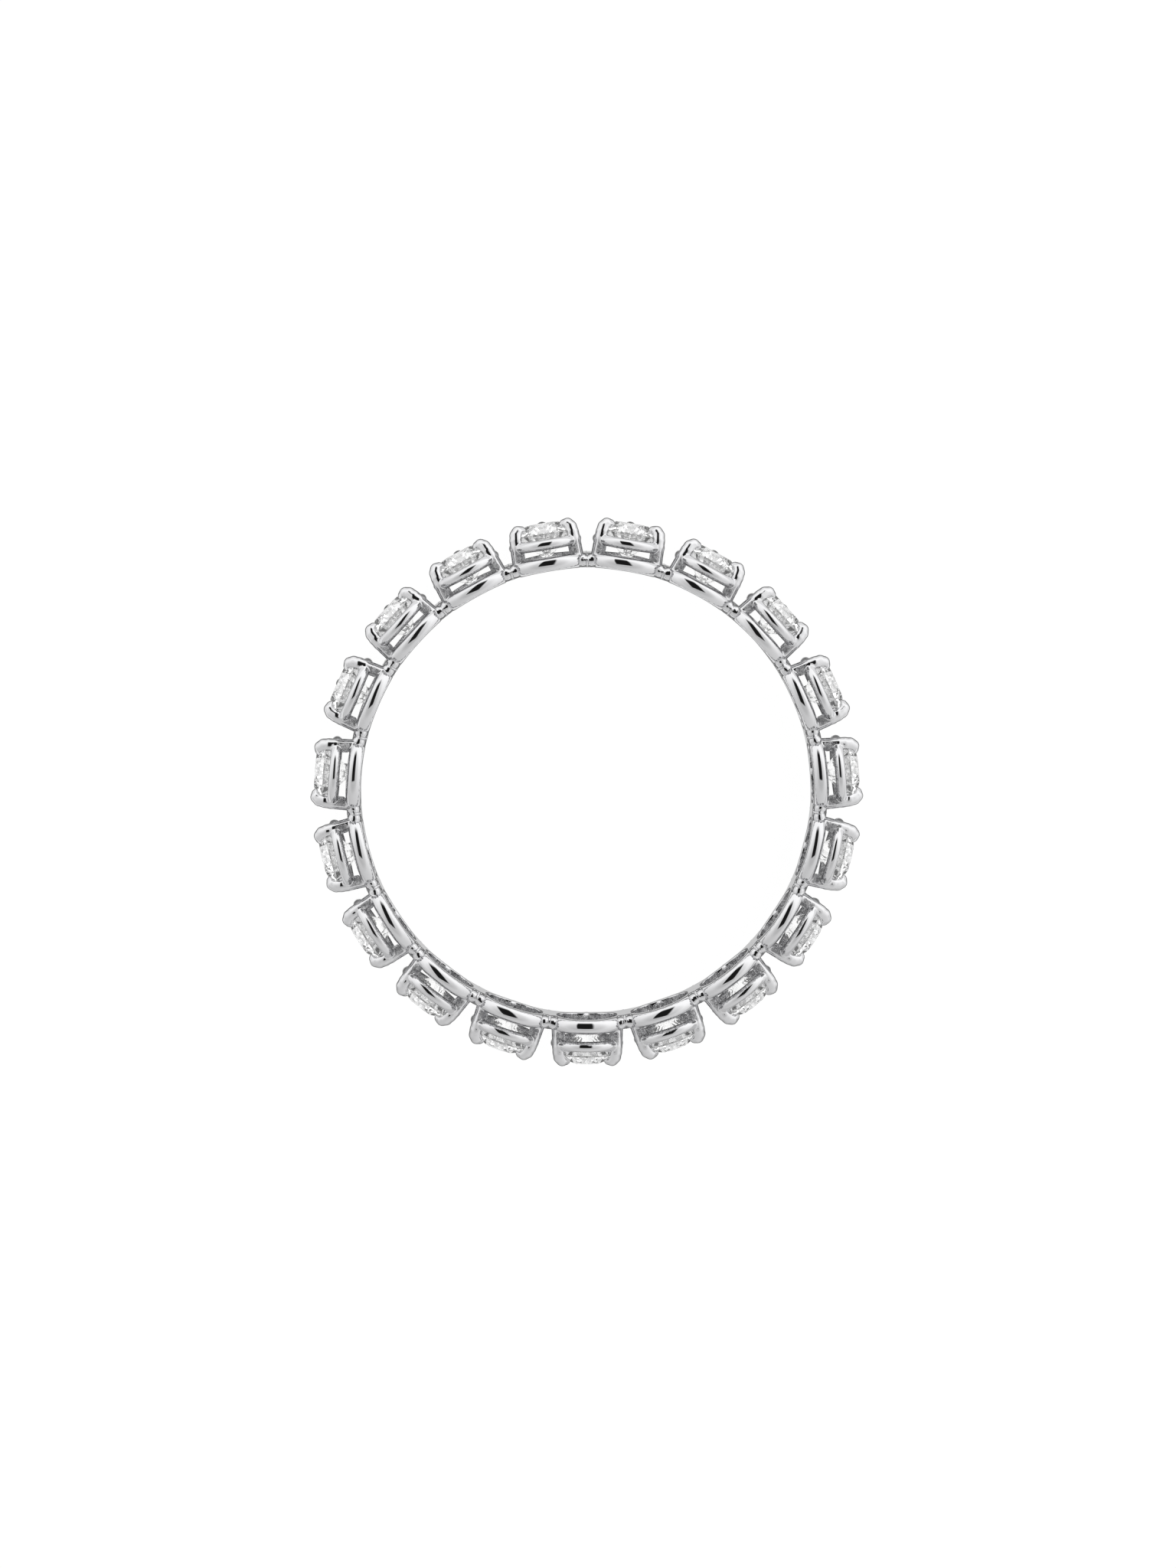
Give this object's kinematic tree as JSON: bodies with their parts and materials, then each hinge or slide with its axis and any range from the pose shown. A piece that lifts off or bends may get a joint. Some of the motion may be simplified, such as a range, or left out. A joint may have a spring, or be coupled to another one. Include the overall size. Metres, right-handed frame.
{
  "type": "eternity ring",
  "caption": "Slim finger ring with round brilliants set all the way round, each in an open round basket with three claws.",
  "frame": {"origin": "centre of the finger bore, halfway across the band", "axes": "+Z along the finger bore, out of the face that has two claws to each stone; the first stone is on -Y and the rest follow anticlockwise seen from +Z"},
  "size_m": [0.021, 0.021, 0.0029],
  "materials": {
    "white_metal": "polished white gold, with an as-cast dull surface inside the baskets and the oval holes",
    "clear_stone": "clear, faceted and polished"
  },
  "bodies": {
    "root": {"setting": "white_metal", "stone_01": "clear_stone", "stone_02": "clear_stone", "stone_03": "clear_stone", "stone_04": "clear_stone", "stone_05": "clear_stone", "stone_06": "clear_stone", "stone_07": "clear_stone", "stone_08": "clear_stone", "stone_09": "clear_stone", "stone_10": "clear_stone", "stone_11": "clear_stone", "stone_12": "clear_stone", "stone_13": "clear_stone", "stone_14": "clear_stone", "stone_15": "clear_stone", "stone_16": "clear_stone", "stone_17": "clear_stone", "stone_18": "clear_stone", "stone_19": "clear_stone"}
  },
  "joints": []
}
